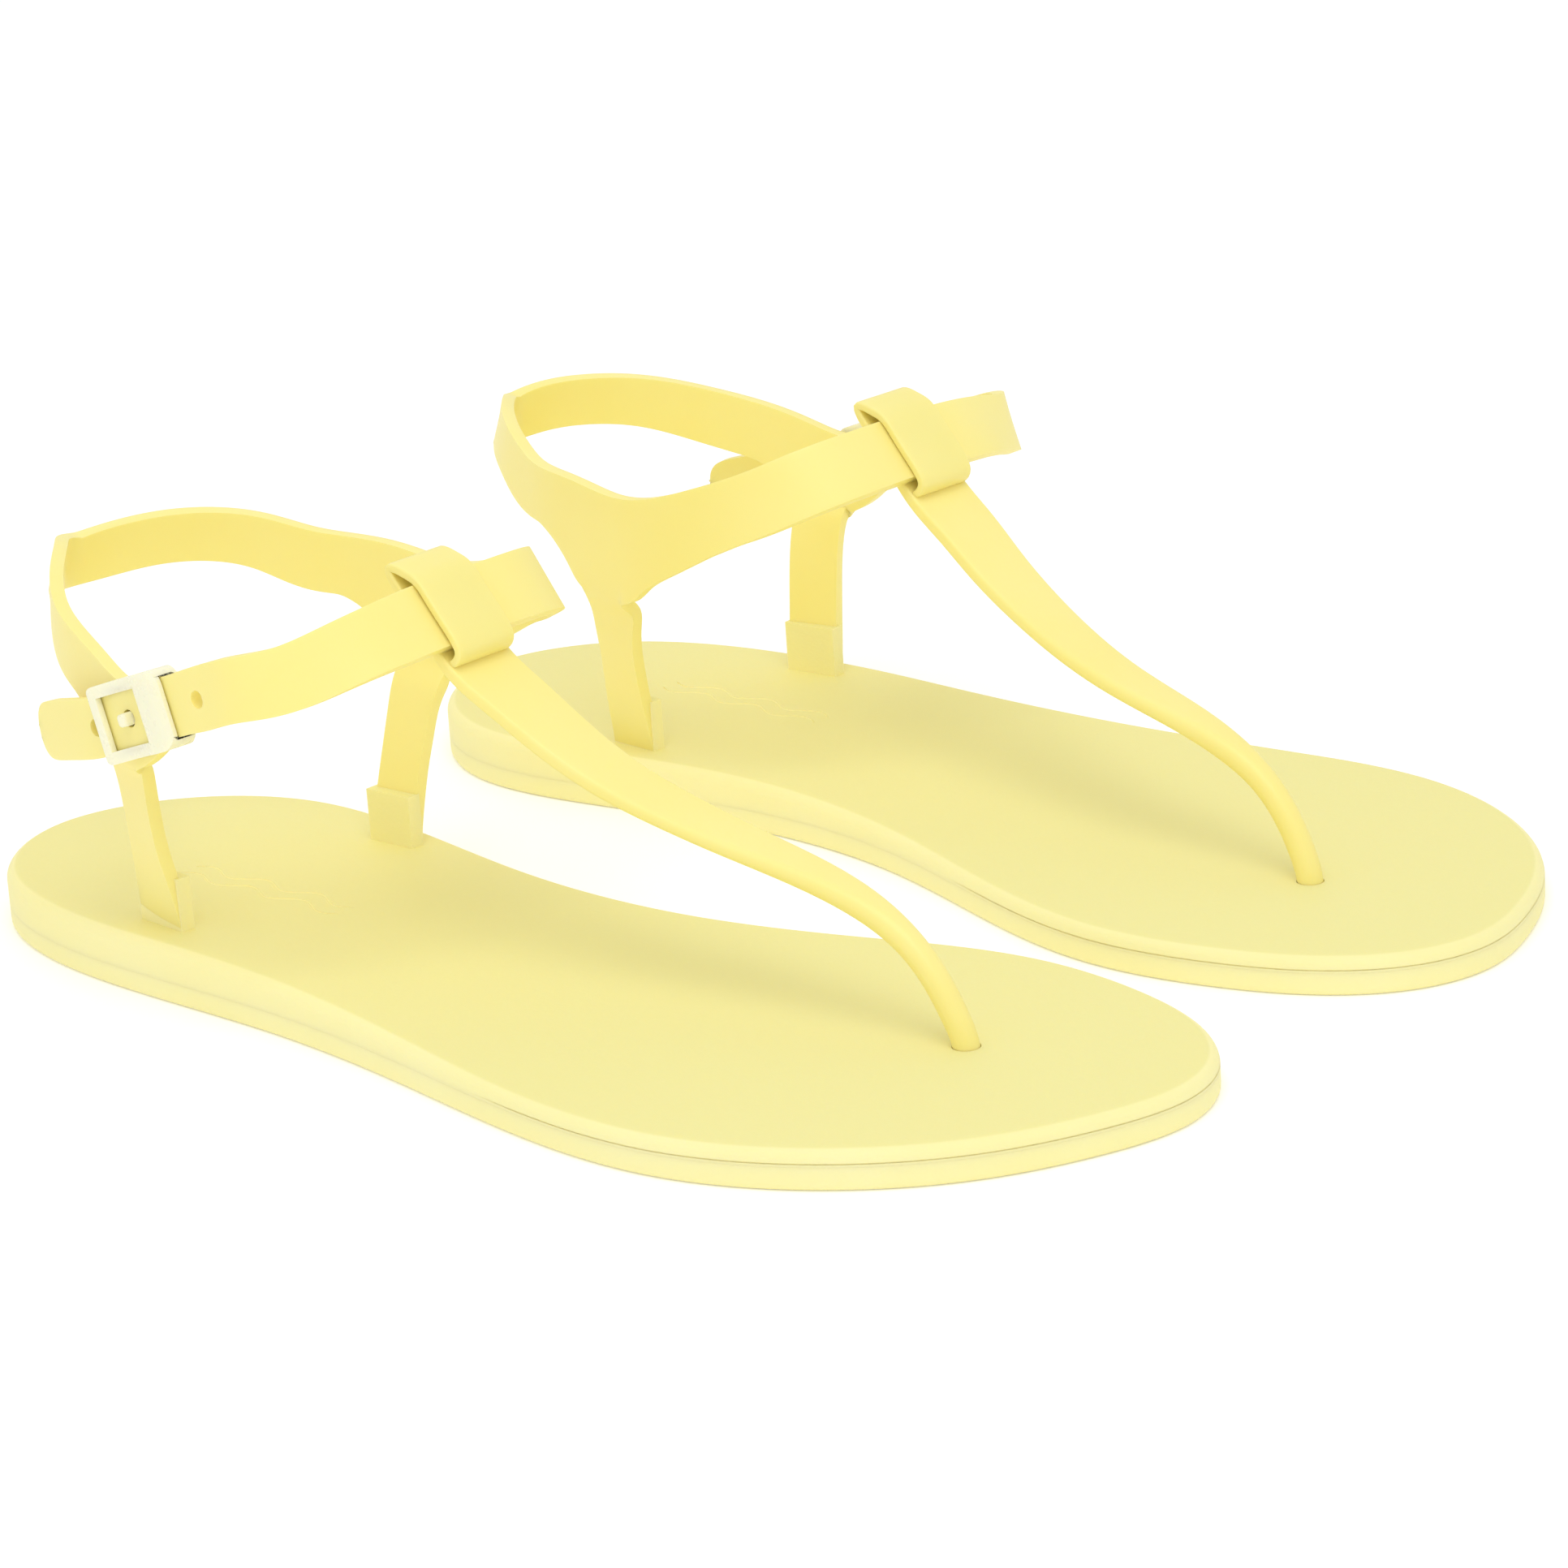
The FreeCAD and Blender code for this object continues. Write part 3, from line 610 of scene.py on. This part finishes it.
def leanFrame(way, lean):
    # width direction of a strap that stands on edge and leans in at its top
    flat = Vector((way[0], way[1], 0)).normalized()
    outward = Vector((-flat.y, flat.x, 0))
    angle = math.radians(lean)
    wide = Vector((0, 0, math.cos(angle))) - outward * math.sin(angle)
    way = Vector(way).normalized()
    return (wide - way * wide.dot(way)).normalized()


def addPost(bm, low, rows, edges):
    # extrudes the dipped edge of the band downwards, row by row
    for height, rear, front, side, turn in rows:
        made = bmesh.ops.extrude_edge_only(bm, edges=edges)["geom"]
        fresh = [part for part in made if isinstance(part, bmesh.types.BMVert)]
        fresh.sort(key=lambda vert: vert.co.x)
        for number, vert in enumerate(fresh):
            reach = (number / (len(fresh) - 1) - 0.5) * (front - rear)
            swing = reach * math.sin(math.radians(turn))
            vert.co = ((rear + front) / 2 + reach, side + swing, height)
        edges = [bm.edges.get(pair) for pair in zip(fresh, fresh[1:])]


def harnessMesh():
    tab = [(*(tabCentre + alongStrap * step), 0, harness["tabWidth"]) for step in (9, 3, -4)]
    count = harness["columns"]
    rows = smoothLine(tab + harness["band"], count)
    ways = np.gradient(rows[:, :3], axis=0)
    bm = bmesh.new()
    bmesh.ops.create_grid(bm, x_segments=count - 1, y_segments=4, size=1)
    lower = {}
    for vert in bm.verts:
        column = round((vert.co.x + 1) / 2 * (count - 1))
        share = vert.co.y
        x, y, z, lean, width = rows[column]
        wide = leanFrame(ways[column], lean)
        dip = 0
        if 45 < x < 100:
            knots = harness["medialDip"] if y > 0 else harness["lateralDip"]
            dip = float(np.interp(x, *zip(*knots)))
        drop = dip * max(0, -share) ** 1.5
        vert.co = Vector((x, y, z)) + wide * (share * width / 2) - Vector((0, 0, drop))
        if share < -0.99:
            lower[column] = vert
    for hand, rows in ((1, harness["medialPost"]), (-1, harness["lateralPost"])):
        rear = rows[0][1] - 1
        front = rows[0][2] + 1
        chosen = [vert for column, vert in sorted(lower.items())
                  if rear < vert.co.x < front and vert.co.y * hand > 15]
        edges = [bm.edges.get(pair) for pair in zip(chosen, chosen[1:])]
        addPost(bm, lower, rows, edges)
    return settled(
        bm, "harness",
        ("SUBSURF", {"levels": 2, "render_levels": 2}),
        ("SOLIDIFY", {"thickness": harness["thickness"], "offset": 0, "use_even_offset": True}),
        ("BEVEL", {"width": harness["edge"], "segments": 3, "limit_method": "ANGLE",
                   "angle_limit": math.radians(50)}))


harnessShape = harnessMesh()
print("harness made")

# free run of the ankle strap, with its holes and tail

ankleStrap = {
    "thickness": 2.2,
    "edge": 0.5,
    "width": 10.8,
    "tailWidth": 10.4,
    "holeRadius": 1.72,
    "holes": (-1, 0, 1, 2),
    "holePitch": 10,
    "endRound": 4,
    "tail": {"right": 30.5, "left": 42},
    "start": [
        (112.8, -4.3, 68.3, 40, 12),
        (112.8, -10.3, 68.3, 40, 12),
        (112.2, -19.6, 67.7, 36, 11.6),
        (109.4, -28.6, 65.9, 28, 11.2),
        (104.4, -38, 63.5, 14, 11),
    ],
}


def ankleStrapMesh(side):
    tail = ankleStrap["tail"][side]
    wide = ankleStrap["width"]
    narrow = ankleStrap["tailWidth"]
    knots = list(ankleStrap["start"])
    for step, width in ((28, wide), (24, wide), (19.5, wide), (15, narrow), (9, narrow),
                        (3, narrow), (-3, narrow), (-8, narrow), (-12, narrow)):
        knots.append((*(strapCentre + alongStrap * step), 0, width))
    turn = math.atan2(-alongStrap.y, alongStrap.x)
    heading = math.pi + turn
    spot = strapCentre - alongStrap * 12
    travelled = 12
    while travelled < tail - 0.1:
        step = min(5.5, tail - travelled)
        travelled += step
        heading += math.radians(5) * step / 5.5 if travelled < 28 else 0
        spot = spot + Vector((math.cos(heading) * 0.97, -math.sin(heading) * 0.97, -0.23)) * step
        knots.append((*spot, 0, narrow))
    line = smoothLine(knots, 900)
    gaps = np.linalg.norm(np.diff(line[:, :3], axis=0), axis=1)
    at = np.concatenate([[0], np.cumsum(gaps)])
    ways = np.gradient(line[:, :3], axis=0)
    radius = ankleStrap["holeRadius"]
    holes = []
    for number in ankleStrap["holes"]:
        centre = strapCentre + alongStrap * (number * ankleStrap["holePitch"])
        away = np.linalg.norm(line[:, :3] - np.array(centre), axis=1)
        holes.append(float(at[int(np.argmin(away))]))
    holes.sort()
    columns = list(np.linspace(0, holes[0] - 5, 17))
    for hole in holes:
        columns += [hole - radius, hole, hole + radius, hole + 5]
    curve = ankleStrap["endRound"]
    rest = at[-1] - curve - columns[-1]
    extra = max(2, round(rest / 3.6))
    columns += [columns[-1] + rest * (number + 1) / extra for number in range(extra)]
    columns += [at[-1] - curve * (1 - math.sin(math.radians(angle))) for angle in (30, 60, 90)]
    levels = (-1, -0.62, None, 0, None, 0.62, 1)
    bm = bmesh.new()
    bmesh.ops.create_grid(bm, x_segments=len(columns) - 1, y_segments=6, size=1)
    gone = []
    for vert in bm.verts:
        column = round((vert.co.x + 1) / 2 * (len(columns) - 1))
        row = round((vert.co.y + 1) * 3)
        spot = columns[column]
        half = float(np.interp(spot, at, line[:, 4])) / 2
        past = max(0, spot - at[-1] + curve)
        half -= curve - math.sqrt(max(0, curve ** 2 - past ** 2))
        over = (row - 3) * radius if levels[row] is None else levels[row] * half
        near = [hole for hole in holes if abs(hole - spot) < radius + 0.01]
        if near and row in (2, 4) and abs(spot - near[0]) > 0.1:
            spot = near[0] + (spot - near[0]) * 0.707
            over *= 0.707
        if near and row == 3 and abs(spot - near[0]) < 0.1:
            gone.append(vert)
        x, y, z, lean = (float(np.interp(spot, at, line[:, part])) for part in range(4))
        way = [float(np.interp(spot, at, ways[:, part])) for part in range(3)]
        vert.co = Vector((x, y, z)) + leanFrame(way, lean) * over
    bmesh.ops.delete(bm, geom=gone, context="VERTS")
    return settled(
        bm, "ankleStrap",
        ("SUBSURF", {"levels": 2, "render_levels": 2}),
        ("SOLIDIFY", {"thickness": ankleStrap["thickness"], "offset": 0}),
        ("BEVEL", {"width": ankleStrap["edge"], "segments": 3, "limit_method": "ANGLE",
                   "angle_limit": math.radians(50)}))


ankleStrapShapes = {side: ankleStrapMesh(side) for side in ("right", "left")}
print("ankle straps made")

# buckle: the keeper frame and the stud

buckle = {
    "length": 20.8,
    "slotWidth": 11.0,
    "slotDepth": 2.8,
    "sideWall": 1.3,
    "backWall": 1.0,
    "window": (-7.7, 3.7),
    "windowWidth": 9.4,
    "backBar": 2.6,
    "corner": 2.6,
    "edge": 0.4,
    # distance along the strap, height of the front face: thin rear bar, wide crowned front bar
    "front": [(-10.4, 2.0), (-9.6, 2.65), (-8.5, 2.75), (-7.5, 2.45), (3.2, 2.45), (4.0, 2.8),
              (5.6, 3.15), (7.3, 3.2), (9.1, 2.95), (10.4, 2.2)],
    "shift": 1.9,
}


def strapMatrix(centre):
    turned = Matrix((alongStrap, acrossStrap, outStrap)).transposed().to_4x4()
    return Matrix.Translation(centre) @ turned


def frameMesh():
    half = buckle["length"] / 2
    side = buckle["slotWidth"] / 2
    reach = side + buckle["sideWall"]
    deep = buckle["slotDepth"] / 2
    back = deep + buckle["backWall"]
    plan = box(-half, half, -reach, reach, -back, 6)
    upright = [edge for edge in plan.edges
               if abs(edge.verts[0].co.z - edge.verts[1].co.z) > 1]
    bmesh.ops.bevel(plan, geom=upright, offset=buckle["corner"], affect="EDGES", segments=6,
                    profile=0.5, material=-1)
    mesh = settled(plan, "plan")
    crown = smoothLine([(x, 0, z) for x, z in buckle["front"]], 48)
    profile = [(x, z) for x, y, z in crown] + [(half + 0.2, -back - 1), (-half - 0.2, -back - 1)]
    body = sweep([[(x, y, z) for x, z in profile] for y in (-reach - 1, reach + 1)])
    tool = cutter(body, "profile")
    bm = bmesh.new()
    bm.from_mesh(mesh)
    mesh = settled(bm, "frame", ("BOOLEAN", {"object": tool, "operation": "INTERSECT",
                                             "solver": "EXACT"}))
    bpy.data.objects.remove(tool)
    window = buckle["windowWidth"] / 2
    mesh = without(mesh, "frame", cutter(box(-half - 2, half + 2, -side, side, -deep, deep), "slot"))
    mesh = without(mesh, "frame", cutter(box(*buckle["window"], -window, window, 0, 8), "window"))
    bar = half - buckle["backBar"]
    mesh = without(mesh, "frame", cutter(box(-bar, bar, -side, side, -6, 0), "opening"))
    bm = bmesh.new()
    bm.from_mesh(mesh)
    mesh = settled(bm, "frame", ("BEVEL", {"width": buckle["edge"], "segments": 3,
                                           "limit_method": "ANGLE",
                                           "angle_limit": math.radians(40)}))
    mesh.transform(strapMatrix(strapCentre + alongStrap * buckle["shift"]))
    return mesh


stud = {
    # radius, height: the head inside the tab and the collar between tab and strap
    "head": [(0.01, -2.6), (3.6, -2.6), (4.15, -2.4), (4.4, -1.95), (4.4, -1.2), (1.3, -1.2),
             (1.3, 1.2), (2.6, 1.2), (2.6, 2.5), (2.4, 2.7), (1.2, 2.7)],
    "pinTop": 7.1,
}


def studMesh():
    bm = bmesh.new()
    spots = [bm.verts.new((radius, 0, height)) for radius, height in stud["head"]]
    edges = [bm.edges.new(pair) for pair in zip(spots, spots[1:])]
    bmesh.ops.spin(bm, geom=spots + edges, cent=(0, 0, 0), axis=(0, 0, 1), angle=math.tau,
                   steps=40, use_merge=True)
    bmesh.ops.remove_doubles(bm, verts=bm.verts[:], dist=0.02)
    rim = [edge for edge in bm.edges if edge.is_boundary]
    if rim:
        bmesh.ops.holes_fill(bm, edges=rim, sides=0)
    bmesh.ops.recalc_face_normals(bm, faces=bm.faces[:])
    top = stud["pinTop"]
    levels = [(2.3, 2.4), (2.3, top - 0.7), (2.2, top - 0.35), (1.9, top - 0.1), (1.4, top)]
    rings = [[(x, y, height) for x, y in roundedSection(width, width, 0.6 * width / 2.3)]
             for width, height in levels]
    pin = sweep(rings)
    extra = bpy.data.meshes.new("pin")
    pin.to_mesh(extra)
    pin.free()
    bm.from_mesh(extra)
    mesh = settled(bm, "stud")
    mesh.transform(strapMatrix(tabCentre))
    return mesh


frameShape = frameMesh()
studShape = studMesh()
print("buckles made")

# stand the pieces on their bodies

for side in ("right", "left"):
    placed("Outsole", outsoleShape, side, soleYellow, "sandal", ["outsole"])
    placed("Footbed", footbedShape, side, soleYellow, "sandal", ["footbed"])
    placed("ToeStrap", toeStrapShape, side, strapYellow, "sandal", ["toe_strap", "instep_loop"])
    placed("HeelHarness", harnessShape, side, strapYellow, "sandal", ["heel_harness"])
    strap = placed("AnkleStrap", ankleStrapShapes[side], side, strapYellow, None, ["strap_end"])
    ahead = (places[side].to_3x3() @ alongStrap).normalized()
    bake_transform(strap)
    placed("BuckleFrame", frameShape, side, buckleCream, "keeper", ["buckle_frame"])
    placed("BuckleStud", studShape, side, buckleCream, "sandal", ["buckle_stud"])
print("pieces placed")

# floor, light and camera

stage = {
    "floorTone": (0.93, 0.93, 0.94),
    "skyStrength": 0.76,
    "floorGlow": 0.16,
    "keyPower": 7.5,
    "fillPower": 1.5,
    "cameraSpot": (0.62266, -0.6723, 0.3230),
    "cameraTurn": (42.531, 18.139, -3.870),
    "lens": 127.18,
}


def addLight(name, spot, target, wide, power):
    light = bpy.data.lights.new(name, "AREA")
    light.size = wide
    light.energy = power
    lamp = bpy.data.objects.new(name, light)
    lamp.location = spot
    lamp.rotation_euler = (Vector(target) - Vector(spot)).to_track_quat("-Z", "Y").to_euler()
    bpy.context.scene.collection.objects.link(lamp)


def buildStage():
    bm = bmesh.new()
    bmesh.ops.create_grid(bm, x_segments=1, y_segments=1, size=6)
    mesh = bpy.data.meshes.new("floor")
    bm.to_mesh(mesh)
    bm.free()
    floor = bpy.data.objects.new("floor", mesh)
    bpy.context.scene.collection.objects.link(floor)
    paper = bpy.data.materials.new("paleFloor")
    paper.use_nodes = True
    shader = paper.node_tree.nodes["Principled BSDF"]
    shader.inputs["Base Color"].default_value = (*stage["floorTone"], 1)
    shader.inputs["Roughness"].default_value = 0.9
    shader.inputs["Emission Color"].default_value = (1, 1, 1, 1)
    shader.inputs["Emission Strength"].default_value = stage["floorGlow"]
    mesh.materials.append(paper)
    world = bpy.data.worlds.new("softSky")
    world.use_nodes = True
    sky = world.node_tree.nodes["Background"]
    sky.inputs["Color"].default_value = (1, 1, 1, 1)
    sky.inputs["Strength"].default_value = stage["skyStrength"]
    bpy.context.scene.world = world
    bpy.context.scene.view_settings.view_transform = "Standard"
    addLight("key", (0.5, -0.5, 1.4), (0, 0, 0), 1.0, stage["keyPower"])
    addLight("fill", (-0.9, 0.5, 1.0), (0, 0, 0), 1.2, stage["fillPower"])


def buildCamera():
    turn, tilt, roll = (math.radians(angle) for angle in stage["cameraTurn"])
    view = Vector((-math.sin(turn) * math.cos(tilt), math.cos(turn) * math.cos(tilt),
                   -math.sin(tilt)))
    level = Vector((math.cos(turn), math.sin(turn), 0))
    upright = level.cross(view)
    right = level * math.cos(roll) + upright * math.sin(roll)
    up = upright * math.cos(roll) - level * math.sin(roll)
    lens = bpy.data.cameras.new("camera")
    lens.lens = stage["lens"]
    lens.sensor_width = 36
    lens.clip_start = 0.05
    lens.clip_end = 20
    camera = bpy.data.objects.new("camera", lens)
    turned = Matrix((right, up, -view)).transposed().to_4x4()
    camera.matrix_world = Matrix.Translation(Vector(stage["cameraSpot"])) @ turned
    bpy.context.scene.collection.objects.link(camera)
    bpy.context.scene.camera = camera


buildStage()
buildCamera()
print("stage set")
